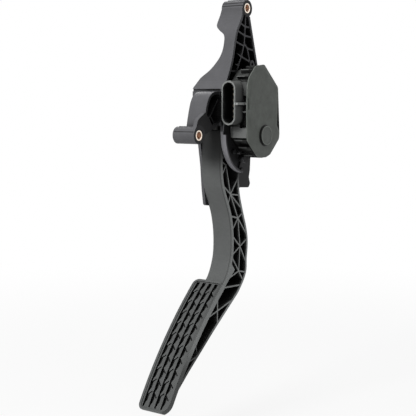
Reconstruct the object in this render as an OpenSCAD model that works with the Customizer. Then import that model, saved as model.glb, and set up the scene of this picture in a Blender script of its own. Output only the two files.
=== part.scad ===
// Electronic accelerator pedal of a car: a hinged lever with a moulded foot pad, the housing that
// carries it, and the position sensor on the housing's side. Sizes are in millimetres.
// Outlines are drawn from the pivot axis: X runs across the pedal towards the sensor, Y away from
// the driver and Z up. The finished pieces are moved so that the origin is the upper mounting bore.

/* [Mounting bosses] */
// Upper mounting bore behind the pivot
upper_bore_y = 3; // [1:0.5:5]
// Upper mounting bore above the pivot
upper_bore_z = 118; // [114:0.5:124]
// Front mounting bore ahead of the pivot
front_bore_reach = 72; // [70:0.5:76]
// Front mounting bore above the pivot
front_bore_z = 1.5; // [0:0.5:3]
// Length of both bosses and their bushes
boss_length = 24; // [22:0.5:25]
// Outside diameter of both bosses
boss_d = 15.5; // [15:0.5:17]
// Outside diameter of the pressed bushes
bush_d = 9.6; // [9:0.2:10.6]
// Bore of the bushes for the fixing bolts
bush_bore_d = 6.6; // [6.2:0.1:7]

/* [Housing] */
// Thickness of the tray and chamber walls
wall = 2.6; // [2:0.1:3]
// Thickness of the left cheek beside the lever
left_cheek = 3; // [2.6:0.1:3.6]
// Thickness of the right cheek under the sensor
right_cheek = 2.4; // [2:0.1:2.8]
// Widest reach of the shoulder to the left of the lever's middle
shoulder_reach = 20; // [18:0.5:22]
// Height of the shoulder step above the pivot
step_z = 43; // [42:0.5:45]
// Radius of the right cheek round the pivot
cheek_radius = 36; // [34:0.5:38]
// Thickness of the ribs in the bracket tray
tray_rib = 1.5; // [1.2:0.1:2]
// Width of the right cheek's stiffening rim
rim_width = 3; // [2:0.5:4]
// Height of the shadow groove under the shoulder
step_groove = 2.2; // [1.6:0.1:2.6]
// Distance of the lug's left side from the lever's middle
lug_reach = 5; // [4:0.5:7]

/* [Lever] */
// Width of the lever
lever_width = 22; // [20:0.5:23]
// Gap between the lever and each cheek
side_gap = 0.6; // [0.4:0.1:1]
// Thickness of the lever's flanges and web
lever_wall = 2.5; // [2:0.1:3]
// Thickness of the lever's truss ribs
lever_rib = 1.4; // [1.1:0.1:1.8]
// Diameter of the lever's hub
hub_d = 22; // [20:0.5:24]
// Radius of the friction drum on the lever's top
drum_radius = 30; // [28:0.5:31]
// Angle of full throttle
pedal_travel = 16; // [12:1:17]

/* [Foot pad] */
// Length of the pad along its face
pad_length = 136; // [128:0.5:142]
// Width of the pad at its top
pad_top_width = 34; // [32:0.5:36]
// Width of the pad at its bottom
pad_bottom_width = 33.5; // [32:0.5:36]
// How far the pad's right edge leans in towards its foot
pad_taper = 2.5; // [1.5:0.5:3.5]
// Thickness of the pad plate
pad_thickness = 5.4; // [4.6:0.2:6]
// Radius of the pad's slight outward curve
pad_curve = 420; // [380:10:600]
// Height of the rim round the tread
rim_height = 0.6; // [0.4:0.1:1]
// Depth of the tread grooves below the rim
groove_depth = 3.6; // [2.4:0.2:3.8]
// Number of barbs along each groove
barb_count = 11; // [9:1:12]

/* [Pivot] */
// Diameter of the pivot shaft
shaft_d = 10; // [9:0.5:11]
// Wall of the bearing bushes
bearing_wall = 1.5; // [1.2:0.1:2]
// Running clearance of the shaft in its bearings
running_gap = 0.05; // [0.03:0.01:0.08]

/* [Return springs] */
// Distance of the spring axis behind the pivot
spring_y = 13; // [12.5:0.5:14]
// Outside diameter of the outer spring
outer_spring_d = 19; // [18:0.5:20]
// Wire of the outer spring
outer_wire = 2; // [1.6:0.1:2.2]
// Outside diameter of the inner spring
inner_spring_d = 12.6; // [11.6:0.2:13.2]
// Wire of the inner spring
inner_wire = 1.5; // [1.2:0.1:1.7]
// Turns of each spring
spring_turns = 5; // [4:1:5]

/* [Sensor] */
// Depth of the sensor body from the housing to the cover
body_depth = 20.5; // [19:0.5:21]
// Wall of the sensor body
body_wall = 1.8; // [1.5:0.1:2.2]
// Thickness of the sensor cover
cover_depth = 2; // [1.8:0.1:2.6]
// Width of the shallow bevel round the cover's face
cover_bevel = 5; // [3:0.5:6]
// Overhang of the cover past the sensor body's wall
cover_overhang = 4; // [3:0.5:4.5]
// Diameter of the round cap over the pivot
cap_d = 17.8; // [16:0.2:18.4]
// Height of the cap above the cover
cap_height = 2.2; // [2:0.1:3]
// Width of the connector shroud
shroud_width = 15.2; // [14.4:0.2:15.6]
// Height of the connector shroud
shroud_height = 40; // [38:0.5:41]
// Wall of the connector shroud
shroud_wall = 1.5; // [1.2:0.1:1.8]
// Reach of the connector shroud ahead of the pivot
shroud_reach = 40; // [38:0.5:43]
// Number of contact blades
blade_count = 6; // [4:1:6]

/* [Hidden] */
$fn = 48;
eps = 0.01;
far = 300;

// Planes across the pedal
lever_half = lever_width / 2;
chamber_half = lever_half + side_gap;
left_face = -chamber_half - left_cheek;
right_face = chamber_half + right_cheek;
boss_left = right_face - boss_length;
boss_mid = right_face - boss_length / 2;

// Bores and the slope of the housing's back, which lies on the car's inclined bulkhead
upper_bore = [upper_bore_y, upper_bore_z];
front_bore = [-front_bore_reach, front_bore_z];
back_top = upper_bore + [4.5, -8];
back_foot = [47, -24];
back_lean = (back_foot[0] - back_top[0]) / (back_top[1] - back_foot[1]);
function back_y(z) = back_top[0] + back_lean * (back_top[1] - z);

// Height of the chamber's opening at the front and of the roof over the lever
mouth_z = 10;
roof_z = step_z - wall;
front_y = -37;

// Lays a Y-Z outline across the pedal from x0 to x1
module across(x0, x1) translate([x0, 0, 0]) rotate([90, 0, 90]) linear_extrude(x1 - x0) children();

// Runs an X-Z outline backwards from y0 to y1
module along(y0, y1) translate([0, y1, 0]) rotate([90, 0, 0]) linear_extrude(y1 - y0) children();

// A shaft, bore or disc on an axis across the pedal
module lateral(at, d, x0, x1) translate([x0, at[0], at[1]]) rotate([0, 90, 0]) cylinder(d = d, h = x1 - x0);

// Moves a piece drawn from the pivot so that the origin is the upper mounting bore
module placed() translate([-boss_mid, -upper_bore[0], -upper_bore[1]]) children();

// Blends the corners of an outline, inside corners first
module blended(inner, outer) offset(r = outer) offset(r = -outer - inner) offset(r = inner) children();

// Smooth curve through the given points, with three steps from each to the next
function curve_point(a, b, c, d, t) =
    (2 * b + (c - a) * t + (2 * a - 5 * b + 4 * c - d) * t * t + (3 * (b - c) + d - a) * t * t * t) / 2;
function curve(p, steps = 3) = let (last = len(p) - 1) [
    for (i = [0:last - 1], k = [0:steps - 1])
        curve_point(p[max(i - 1, 0)], p[i], p[i + 1], p[min(i + 2, last)], k / steps),
    p[last]
];

// A straight rib between two points of an outline
module rib_line(a, b, t) {
    run = b - a;
    translate(a) rotate(atan2(run[1], run[0])) translate([-t / 2, -t / 2]) square([norm(run) + t, t]);
}

// Side outline of the bracket and the chamber
bracket_side = concat(
    curve([
        upper_bore + [-8.3, 2], upper_bore + [-8.7, -6], upper_bore + [-12.8, -14],
        upper_bore + [-17.5, -21.5], upper_bore + [-20.7, -31], [-19.6, 78.5], [-22.2, 69.3],
        [-25.8, 60], [-30.5, step_z + 7.5], [front_y, step_z]
    ]),
    [
        [front_y, mouth_z], [back_y(mouth_z) - 3 * wall, mouth_z],
        [back_foot[0] - 2 * wall, back_foot[1]], back_foot, back_top
    ]
);

// Left outline of the bracket seen from the front: the boss's block, a narrow neck and a wide shoulder
bracket_left = concat(
    curve([
        [boss_left + 1.2, upper_bore[1] + 2], [boss_left - 0.4, upper_bore[1] - 3],
        [boss_left - 1.5, upper_bore[1] - 8], [boss_left - 1.7, upper_bore[1] - 13.5],
        [boss_left - 0.4, upper_bore[1] - 17], [-5, upper_bore[1] - 21.2], [0.6, upper_bore[1] - 25.2],
        [2.2, upper_bore[1] - 32], [1.3, 77], [-1.7, 69.7], [-8.4, 60.5],
        [-17, step_z + 10], [-shoulder_reach, step_z + 2]
    ]),
    [[-shoulder_reach, step_z - 7], [left_face, mouth_z], [left_face, back_foot[1]]]
);

module bracket_side_shape() blended(3, 0.8) polygon(bracket_side);

// Front outline that is left open to the right, for the hollow of the tray
module bracket_front_open_shape() {
    blended(3, 1.5) polygon(concat(bracket_left, [[far, back_foot[1]], [far, upper_bore[1] + 2]]));
}

module bracket_front_shape() {
    intersection() {
        bracket_front_open_shape();
        translate([-far, -far]) square([far + right_face, 2 * far]);
    }
}

// The lever's swinging space between the cheeks, open at the bottom
module chamber_shape() {
    polygon([
        [front_y + wall, mouth_z - far], [front_y + wall, roof_z], [back_y(roof_z) - wall, roof_z],
        [back_y(back_foot[1]) - wall, back_foot[1]], [back_y(back_foot[1]) - wall, mouth_z - far]
    ]);
}

// Ribs that cross the open tray of the bracket
well_corner = 1;
rib_sink = 0.6;
tray_spine = [upper_bore + [-1.8, -6], upper_bore + [-3.3, -26], upper_bore + [-4, -33]];
tray_left_leg = [tray_spine[2], [-5.3, 74], [-10, 66], [-15, 54], [-19, step_z]];
tray_right_leg = [tray_spine[2], [4, 81], [8.5, 68], [13, 54], [17, step_z]];
tray_cross = [
    [upper_bore + [-20, -11], upper_bore + [-3, -17]], [upper_bore + [-3, -17], upper_bore + [12, -18]],
    [upper_bore + [-22, -19], upper_bore + [-3, -25.5]], [upper_bore + [-3, -25.5], upper_bore + [14, -27]],
    [[-24, 89], [-2, 83]], [[4, 81], [24, 78]], [[-28, 79], [-5.3, 73]], [[-5.3, 73], [28, 62]],
    [[-32, 70], [-10, 65]], [[-36, 60], [-12.5, 59]], [[10.5, 62], [34, 54]]
];

module tray_ribs_shape() {
    for (path = [tray_spine, tray_left_leg, tray_right_leg], i = [0:len(path) - 2])
        rib_line(path[i], path[i + 1], tray_rib);
    for (line = tray_cross) rib_line(line[0], line[1], tray_rib);
}

// The bracket tray's side outline above the step, clear of the boss
module well_shape() {
    difference() {
        intersection() {
            offset(delta = -wall) bracket_side_shape();
            translate([-far, step_z]) square([2 * far, upper_bore[1] - step_z]);
        }
        translate(upper_bore) circle(d = boss_d);
    }
}

// Wells between the ribs have rounded corners, and the ribs end a little below the tray's edge
module tray_cut() {
    intersection() {
        union() {
            across(-shoulder_reach, right_face - rib_sink) offset(r = well_corner, $fn = 16)
                offset(delta = -well_corner) difference() {
                    well_shape();
                    tray_ribs_shape();
                    translate(ear_place) circle(d = ear_d);
                }
            across(right_face - rib_sink - eps, right_face + 1) difference() {
                well_shape();
                translate(ear_place) circle(d = ear_d);
            }
        }
        along(-far, far) intersection() {
            translate([wall, 0]) bracket_front_open_shape();
            translate([-far, step_z]) square([2 * far, 2 * far]);
        }
    }
}

// The lug that carries the front boss: a hollow shell that is open to the right
lug_left = -lug_reach;
lug_back = front_y + wall - 2;
lug_top = step_z - step_groove - 0.4;
lug_side = concat(
    curve([
        [lug_back, lug_top], [front_y - 7, lug_top], [front_y - 13.5, lug_top - 0.7],
        [front_y - 18.8, lug_top - 3.8], front_bore + [12.6, 30], front_bore + [10.2, 23.5],
        front_bore + [7.9, 15.2], front_bore + [6, 6.5]
    ]),
    [
        front_bore + [0, -5], front_bore + [10, 0.8], [-54, 5.5],
        [lug_back - 10, mouth_z - 1], [lug_back, mouth_z]
    ]
);

// Web beside the boss's right end, which flares round it
collar_side = concat(
    curve([
        front_bore + [8.6, 20.2], front_bore + [5, 17.8], front_bore + [1, 15.6], front_bore + [-2, 13],
        front_bore + [-4, 8], front_bore + [-6.6, 4]
    ]),
    [front_bore + [0, -6], front_bore + [11, 2], [-56, 4.6], [-52, 9], [-56.5, 15.6]]
);
collar_depth = 4;
lug_ribs = [[[-56.5, 15.6], [-50.5, 19.4]], [[-50.5, 19.4], [front_y - 3, 33]], [[-51, 18], [-46, 12]]];

module lug() {
    across(right_face - collar_depth, right_face) blended(1, 1) polygon(collar_side);
    difference() {
        across(lug_left, right_face) blended(2, 1) polygon(lug_side);
        across(lug_left + wall, right_face + 1) offset(r = 3, $fn = 24) offset(delta = -3 - wall)
            polygon(lug_side);
    }
    intersection() {
        across(lug_left, right_face - 3) for (line = lug_ribs) rib_line(line[0], line[1], tray_rib);
        across(lug_left, right_face) polygon(lug_side);
    }
}

// Left cheek with the leg that stands behind the lever
left_cheek_side = [
    [front_y, step_z - 6], [front_y, 4], [-36, -8], [-32.5, -28], [-30.5, -50], [-28, -66], [-19, -67],
    [0, -61], [29, -53], [44, -54], [46.5, -50], [44.3, -44], [46, -37], [back_foot[0], back_foot[1]],
    [back_y(step_z - 6), step_z - 6]
];

module left_cheek_shape() blended(2, 3) polygon(left_cheek_side);

// Right cheek, round about the pivot at its front, with a stiffening rim along that edge
cheek_foot = -18;

module right_cheek_shape() {
    intersection() {
        union() {
            circle(r = cheek_radius);
            polygon([
                [front_y, mouth_z], [front_y, step_z], [back_y(step_z), step_z],
                [back_y(cheek_foot), cheek_foot], [-10, cheek_foot], [-cheek_radius, 0]
            ]);
        }
        polygon([
            [front_y - 2, step_z], [back_y(step_z), step_z], [back_y(cheek_foot), cheek_foot],
            [-6.5, cheek_foot], [-6.5, -60], [front_y - 2, -60]
        ]);
    }
}

// The rim stands out from the cheek and tapers away towards its lower end
module right_rim() intersection() {
    across(right_face - eps, right_face + rim_width) intersection() {
        difference() {
            circle(r = cheek_radius);
            circle(r = cheek_radius - wall);
        }
        polygon([[0, 0], [-60, 2], [-60, -60], [-8, -60]]);
    }
    along(-60, 0) polygon([
        [right_face - 1, 10], [right_face + rim_width, 10], [right_face + rim_width, -14],
        [right_face + 0.8, -cheek_radius], [right_face - 1, -cheek_radius]
    ]);
}

// Seats moulded inside the chamber
shoe_angle = 132;
shoe_span = 40;
shoe_gap = 0.3;
shoe_depth = 4.5;
shoe_half = lever_half - 3;
stop_half = 7;
stop_height = 4.4;
stop_gap = 0.3;
heel_z = 10;
heel_y = 33;

module chamber_seats() {
    intersection() {
        union() {
            for (x = [-shoe_half + 2, -1, shoe_half - 4]) across(x, x + 2) difference() {
                polygon([[front_y, 14], [front_y, step_z - 1], [-4, step_z - 1], [-12, 24], [-24, 14]]);
                circle(r = drum_radius + shoe_gap + shoe_depth);
            }
            across(-stop_half, stop_half) {
                translate([front_y + 0.2, mouth_z]) square([7.2, 2.4]);
                full_stop_shelf_shape();
            }
            spring_spigot();
        }
        across(-chamber_half - 1, chamber_half + 1) translate([front_y, -60]) square([120, step_z + 59]);
    }
}

// Full-throttle stop: the pad under this shelf meets the lever's heel at the end of its travel
module heel_line_shape(depth) {
    rotate(pedal_travel) translate([28.5, heel_z + stop_gap]) square([4.5, depth]);
}

module full_stop_shelf_shape() {
    difference() {
        intersection() {
            polygon([[23.3, 20], [23.3, 27], [40, 27], [40, 17]]);
            polygon([[0, -10], [0, 30], [back_y(30) - 1, 30], [back_y(-10) - 1, -10]]);
        }
        rotate(pedal_travel) translate([0, heel_z + stop_gap - 20]) square([60, stop_height + 20]);
    }
}

seat_z = roof_z;
seat_depth = 2.4;
seat_ring = 2.6;
spring_top = seat_z - seat_depth;
spigot_d = inner_spring_d - 2 * inner_wire - 0.8;

module spring_spigot() {
    translate([0, spring_y, seat_z - 6]) cylinder(d = spigot_d - 2, h = 6.5);
}

bearing_d = shaft_d + 2 * running_gap + 2 * bearing_wall;
pivot = [0, 0];
bearing_flange = 1.2;

// Screw places of the sensor body on the housing's right cheek
screw_places = [[-15.5, 38], [11.5, 32], [11.5, 8], [-14.5, 2]];
screw_core = 3;
screw_boss_d = 7;

// Post with a blind hole at the tray's lower end
ear_place = [11.5, 66.5];
ear_d = 7.4;
ear_hole = 3;

// Round boss with a flat strip along its top, which starts a little in from the left end
strip_half = 2.2;
strip_proud = 0.3;

module boss(at) {
    lateral(at, boss_d, boss_left, right_face);
    translate([boss_left + 3, at[0] - strip_half, at[1]])
        cube([boss_length - 4, 2 * strip_half, boss_d / 2 + strip_proud]);
}

// Small pins and the round boss of the right cheek: place, diameter and height
cheek_pins = [[[-20.5, -15], 4.4, 3], [[-16, -16], 3, 6], [[-7, -21.7], 8.5, 6], [[-7.4, -31.5], 2.6, 3]];
cheek_fin = [[-6.8, -18.6], [-10.6, -30]];
groove_cut = 1.2;

module housing() color("#3c3e3e") placed() {
    difference() {
        union() {
            intersection() {
                across(-shoulder_reach, right_face) bracket_side_shape();
                along(-far, far) bracket_front_shape();
            }
            across(left_face, -chamber_half) left_cheek_shape();
            across(chamber_half, right_face) right_cheek_shape();
            right_rim();
            lug();
            boss(upper_bore);
            boss(front_bore);
            lateral(pivot, bearing_d + 6, left_face - 2, -chamber_half);
            for (pin = cheek_pins) lateral(pin[0], pin[1], right_face - 1, right_face + pin[2]);
            across(right_face - 1, right_face + 1.5) rib_line(cheek_fin[0], cheek_fin[1], tray_rib);
        }
        tray_cut();
        translate([-far, front_y - 2, step_z - step_groove])
            cube([far + right_face - 3, 2 + groove_cut, step_groove]);
        lateral(ear_place, ear_hole, right_face - 4, far);
        difference() {
            across(-chamber_half, chamber_half) chamber_shape();
            chamber_seats();
        }
        lateral(upper_bore, bush_d, -far, far);
        lateral(front_bore, bush_d, -far, far);
        lateral(pivot, bearing_d, -far, far);
        for (p = screw_places) lateral(p, screw_core, right_face - 2, far);
    }
}

module bush(at) color("#c8965a") placed() difference() {
    lateral(at, bush_d, boss_left, right_face);
    lateral(at, bush_bore_d, -far, far);
}

module upper_bush() bush(upper_bore);

module front_bush() bush(front_bore);

// Flanged bearing bush in a cheek, with the flange outside
module bearing(x_in, x_out) {
    flange = x_out > x_in ? bearing_flange : -bearing_flange;
    color("#d8d4c4") placed() difference() {
        union() {
            lateral(pivot, bearing_d, min(x_in, x_out), max(x_in, x_out));
            lateral(pivot, bearing_d + 3, min(x_out, x_out + flange), max(x_out, x_out + flange));
        }
        lateral(pivot, shaft_d + 2 * running_gap, -far, far);
    }
}

module left_bearing() bearing(-chamber_half, left_face - 2);

module right_bearing() bearing(chamber_half, right_face);

// Rubber pad that the lever rests on when the pedal is released
module idle_stop() color("#202020") placed()
    translate([-stop_half + 1, front_y + wall + 0.4, mouth_z - stop_height])
        cube([2 * stop_half - 2, 4, stop_height]);

module full_stop() color("#202020") placed()
    across(-stop_half + 1, stop_half - 1) heel_line_shape(stop_height);

// Cup under the roof that centres both springs
module spring_seat() color("#55585a") placed() translate([0, spring_y, 0]) difference() {
    union() {
        translate([0, 0, spring_top]) cylinder(d = outer_spring_d + 1.4, h = seat_depth);
        translate([0, 0, spring_top - seat_ring]) cylinder(d = spigot_d, h = seat_depth + seat_ring);
    }
    translate([0, 0, -far]) cylinder(d = spigot_d - 2, h = 2 * far);
}

// Curved friction shoe over the lever's drum
module friction_shoe() color("#6a5a44") placed() across(-shoe_half, shoe_half) intersection() {
    difference() {
        circle(r = drum_radius + shoe_gap + shoe_depth);
        circle(r = drum_radius + shoe_gap);
    }
    polygon([
        [0, 0],
        for (a = [-0.5, 0, 0.5]) 80 * [cos(shoe_angle + a * shoe_span), sin(shoe_angle + a * shoe_span)]
    ]);
}

// Compression spring standing on the heel: an even helix with closed, flattened end turns
spring_foot = heel_z + 0.3;

function helix_point(r, turns, z0, z1, t) =
    [r * cos(360 * turns * t), r * sin(360 * turns * t), z0 + (z1 - z0) * t];

module coil(d, wire, turns) {
    r = (d - wire) / 2;
    steps = 14 * turns;
    sides = 8;
    z0 = spring_foot + wire / 2;
    z1 = spring_top - wire / 2;
    rings = [
        for (i = [0:steps]) let (t = i / steps, c = helix_point(r, turns, z0, z1, t), a = 360 * turns * t)
            for (k = [0:sides - 1]) let (q = 360 * k / sides)
                c + wire / 2 * [cos(q) * cos(a), cos(q) * sin(a), sin(q)]
    ];
    sheath = [
        for (i = [0:steps - 1], k = [0:sides - 1])
            let (n = (k + 1) % sides, here = i * sides, next = here + sides)
                each [[here + k, next + n, here + n], [here + k, next + k, next + n]]
    ];
    ends = [[for (k = [0:sides - 1]) k], [for (k = [sides - 1:-1:0]) steps * sides + k]];
    polyhedron(rings, concat(sheath, ends));
}

module outer_spring() color("#9a9c9e") placed() translate([0, spring_y, 0])
    coil(outer_spring_d, outer_wire, spring_turns);

module inner_spring() color("#a8aaac") placed() translate([0, spring_y, 0])
    mirror([1, 0, 0]) coil(inner_spring_d, inner_wire, spring_turns);

// The lever: flanges and a web that is closed on the left, with truss ribs open to the right
lever_front = curve([
    [-33.4, 5.3], [-34.3, -14], [-34.3, -34], [-31.5, -48], [-26, -61], [-20.8, -73], [-17.6, -86],
    [-16.4, -100], [-17.4, -114], [-21.5, -126], [-26.5, -134.5], [-31.5, -139]
]);
lever_back = concat(
    curve([
        [-3.7, -26], [-5.5, -40], [-4.4, -55], [1.2, -72.5], [6.4, -86.5], [9.2, -98], [9.4, -108],
        [8, -119], [7.6, -130], [3.4, -139], [-6, -150]
    ]),
    [[-45.5, -181.3], [-82, -212], [-104, -232]]
);
pad_start = [-30.4, -136.5];
pad_lean = 42;

// A point of the pad's face: s is the distance along the face, and the lean lessens along the curve
function pad_turn(s) = pad_lean + 5.5 - 57.3 * s / pad_curve;
pad_centre = pad_start + pad_curve * [cos(pad_turn(0)), -sin(pad_turn(0))];
function pad_point(s, depth) =
    pad_centre - (pad_curve - depth) * [cos(pad_turn(s)), -sin(pad_turn(s))];

pad_steps = 10;

module pad_band_shape(s0, s1, d0, d1) {
    polygon(concat(
        [for (i = [0:pad_steps]) pad_point(s0 + (s1 - s0) * i / pad_steps, d0)],
        [for (i = [pad_steps:-1:0]) pad_point(s0 + (s1 - s0) * i / pad_steps, d1)]
    ));
}

module lever_arm_shape() {
    blended(3, 1) polygon(concat(
        [[-18, 5.3]], lever_front, [for (i = [0:pad_steps]) pad_point(pad_length * 0.985 * i / pad_steps, 1)],
        [for (i = [len(lever_back) - 1:-1:0]) lever_back[i]], [[8, -6]]
    ));
}

truss_nodes = [[-26.2, -27.3], [-19, -55], [-6.7, -78.5], [-3.1, -106], [-5.1, -129.6]];
truss_spokes = [
    [[-36, -22], [-36, -41]],
    [[-36, -42], [-5, -38], [-3, -57], [3, -73], [-24, -67]],
    [[-21, -75], [3, -73], [-17.5, -91], [10, -98]],
    [[-17.5, -93], [10, -99], [-16, -113], [9, -126]],
    [[-17, -114], [10, -133], [-29, -136.5], [3, -141]]
];
pad_ribs = [
    [[-34, -142], [-2, -143.5]], [[-39.3, -146], [-39.3, -177]], [[-59, -168], [-18, -156.5]],
    [[-73.5, -180], [-69.5, -201]], [[-90, -204], [-72, -200]]
];

module truss_shape() {
    for (i = [0:len(truss_nodes) - 2]) rib_line(truss_nodes[i], truss_nodes[i + 1], lever_rib);
    for (i = [0:len(truss_nodes) - 1], tip = truss_spokes[i]) rib_line(truss_nodes[i], tip, lever_rib);
    for (line = pad_ribs) rib_line(line[0], line[1], lever_rib);
}

module lever_hollow() {
    difference() {
        across(-lever_half + lever_wall, lever_half + 1) intersection() {
            offset(delta = -lever_wall) lever_arm_shape();
            polygon([[-60, -20], [10, -22], [40, -60], [40, -240], [-140, -240], [-140, -120], [-60, -60]]);
            difference() {
                translate([-200, -300]) square([400, 400]);
                pad_band_shape(-20, pad_length + 20, -20, pad_thickness);
            }
        }
        across(-lever_half, lever_half - 0.3) truss_shape();
    }
}

// Foot pad seen along its face's normal: s runs down the face and x across
pad_overhang = 0.7;
pad_right = lever_half + pad_overhang;
foot_right = pad_right - pad_taper;
foot_left = foot_right - pad_bottom_width;
pad_corner = 6;
pad_foot_corner = 12;

module pad_outline_shape() intersection() {
    blended(0.5, pad_corner) polygon([
        [pad_right, 0], [pad_right - pad_top_width, 0], [foot_left, -pad_length], [foot_right, -pad_length]
    ]);
    offset(r = pad_foot_corner) offset(r = -pad_foot_corner) polygon([
        [pad_right + pad_taper, pad_length], [foot_left - pad_bottom_width, pad_length],
        [foot_left - pad_bottom_width, -pad_length], [foot_right, -pad_length]
    ]);
}

// Turns the pad's flat pattern onto the chord of its curved face
pad_chord = pad_point(pad_length, 0) - pad_point(0, 0);
pad_chord_lean = atan2(-pad_chord[0], -pad_chord[1]);

module on_pad(depth_out, depth_in) {
    translate([0, pad_start[0], pad_start[1]]) rotate([-pad_chord_lean, 0, 0])
        translate([0, depth_in, 0]) rotate([90, 0, 0]) linear_extrude(depth_in + depth_out) children();
}

// The tread: long grooves that widen and narrow once a pitch, each with a slit to its right there
pad_rim = 3;
groove_count = 4;
groove_wide = 3.6;
groove_narrow = 1.8;
slit_width = 1.2;
slit_reach = 3.4;
groove_length = pad_length - 2.4 * pad_rim;
barb_pitch = groove_length / barb_count;

// Widths along one pitch of a groove, with the share of the pitch where each starts
barb_steps = [[groove_wide, 0], [groove_wide, 0.45], [groove_narrow, 0.82], [groove_narrow, 1]];

function groove_x(g, width) = (width - 2 * pad_rim) * g / groove_count + pad_rim + 1;
function groove_point(g, x, s) =
    let (top = pad_right - pad_top_width + groove_x(g, pad_top_width))
    let (foot = foot_left + groove_x(g, pad_bottom_width))
    [top + (foot - top) * s / pad_length + x, -s - 1.2 * pad_rim];

module groove_shape(g) {
    polygon([
        groove_point(g, 0, groove_length), groove_point(g, 0, 0),
        for (i = [0:barb_count - 1], step = barb_steps) groove_point(g, step[0], (i + step[1]) * barb_pitch)
    ]);
    slit_turn = g % 2 == 0 ? -1 : 1;
    for (i = [1:barb_count - 1]) let (root = slit_turn < 0 ? 0.08 : -0.1)
        rib_line(
            groove_point(g, groove_narrow, (i + root) * barb_pitch),
            groove_point(g, groove_narrow + slit_reach, (i + root) * barb_pitch + slit_turn * slit_reach),
            slit_width
        );
}

module pad_slab(depth_from, depth_to) {
    across(pad_right - pad_bottom_width - 5, pad_right + 5)
        pad_band_shape(0, pad_length, depth_from, depth_to);
}

// The tread lies a little below its rim, and its grooves go most of the way through the plate
module tread_cut() {
    intersection() {
        pad_slab(-3, rim_height);
        on_pad(20, 20) offset(delta = -pad_rim + 0.6) pad_outline_shape();
    }
    intersection() {
        pad_slab(-3, groove_depth);
        on_pad(20, 20) for (g = [0:groove_count - 1]) groove_shape(g);
    }
}

module pad() intersection() {
    pad_slab(0, pad_thickness);
    on_pad(40, 40) pad_outline_shape();
}

// The arm behind the pad narrows along the pad's right edge
module arm_taper() on_pad(5, 60) polygon([
    [lever_half, 0], [lever_half - 2 * pad_taper, -2 * pad_length], [far, -2 * pad_length], [far, 0]
]);

module pedal_lever() color("#4a4c4c") placed() {
    difference() {
        union() {
            difference() {
                across(-lever_half, lever_half) lever_arm_shape();
                arm_taper();
            }
            across(-lever_half, lever_half) {
                circle(d = hub_d);
                intersection() {
                    circle(r = drum_radius);
                    polygon([[0, 0], [-4, 60], [-60, 60], [-60, 4]]);
                }
                polygon([[-4, heel_z], [heel_y, heel_z], [heel_y, heel_z - 4], [8, -8], [-6, -8]]);
            }
            pad();
        }
        lever_hollow();
        tread_cut();
        lateral(pivot, shaft_d, -far, far);
        translate([0, spring_y, heel_z - 2]) difference() {
            cylinder(d = outer_spring_d - 2 * outer_wire - 1.2, h = 20);
            translate([0, 0, -1]) cylinder(d = spigot_d, h = 30);
        }
    }
}

// Steel shaft pressed through the hub; its right end drives the sensor rotor
shaft_left = left_face - 6;
rotor_depth = 5.5;
magnet_depth = 1.5;
magnet_gap = 1.4;
board_depth = 3.8;
board_x = right_face + body_depth - board_depth;
chip_depth = 1.1;
rotor_x = board_x - chip_depth - magnet_gap - magnet_depth - rotor_depth;
shaft_right = rotor_x + rotor_depth - 0.5;
clip_depth = 0.8;
clip_face = left_face - 2 - bearing_flange - 0.3;

module pivot_shaft() color("#b0b2b4") placed() difference() {
    lateral(pivot, shaft_d, shaft_left, shaft_right);
    difference() {
        lateral(pivot, shaft_d + 2, clip_face - 1, clip_face + 0.1);
        lateral(pivot, shaft_d - 2 * clip_depth, shaft_left - 1, shaft_right);
    }
}

// Snap ring in the shaft's groove, outside the left bearing
module shaft_clip() color("#8c8e90") placed() difference() {
    lateral(pivot, shaft_d + 4, clip_face - 0.9, clip_face);
    lateral(pivot, shaft_d - 2 * clip_depth, -far, far);
    translate([-far, -1.6, -12]) cube([far, 3.2, 12]);
}

// Side outline of the sensor, common to its body and cover
cover_side = [
    [-14, 64], [0, 65.5], [13, 54], [24, 44.5], [22.5, 9], [27, 2.5], [26, -4], [17, -11.5], [11, -18],
    [3.5, -20.5], [-9.5, -20.5], [-18, -13], [-27.5, -4], [-28.6, 25], [-27.6, 46], [-25, 53]
];
cover_joint = right_face + body_depth;
cover_face = cover_joint + cover_depth;

module cover_shape() blended(3, 5) polygon(cover_side);

// The body stands back from the cover's edge all round
module body_shape() offset(delta = -cover_overhang) cover_shape();

// The hollow of the body, inside the seal's land
seal_land = 1.8;

module tray_shape() offset(delta = -body_wall - seal_land) body_shape();

shroud_mid = [right_face + 1.2 + shroud_width / 2, 30.2];
shroud_floor = -26;

module shroud_shape(inset) {
    r = shroud_width / 2 - inset;
    half = (shroud_height - shroud_width) / 2;
    translate(shroud_mid) {
        for (s = [-1, 1]) translate([0, s * half]) circle(r = r);
        translate([-r, -half]) square([2 * r, 2 * half]);
    }
}

blade_pitch = 5;
blade_size = [0.8, 2.2];
blade_tip = -shroud_reach + 8;
blade_turn = -17;
board_t = 1.6;
board_gap = 0.8;

module blades() {
    for (i = [0:blade_count - 1]) let (z = shroud_mid[1] + (i - (blade_count - 1) / 2) * blade_pitch) {
        translate([shroud_mid[0] - blade_size[0] / 2, blade_tip, z - blade_size[1] / 2])
            cube([blade_size[0], blade_turn - blade_tip, blade_size[1]]);
        translate([shroud_mid[0] - blade_size[0] / 2, blade_turn - 1, z - 0.5])
            cube([board_x + board_t + 0.8 - shroud_mid[0] + blade_size[0] / 2, 1, 1]);
    }
}

seal_d = shaft_d + 7;
seal_groove = [1.2, 1];
board_posts = [[-17, 48], [12, 46], [-17, 10], [15, 17.5]];

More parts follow.
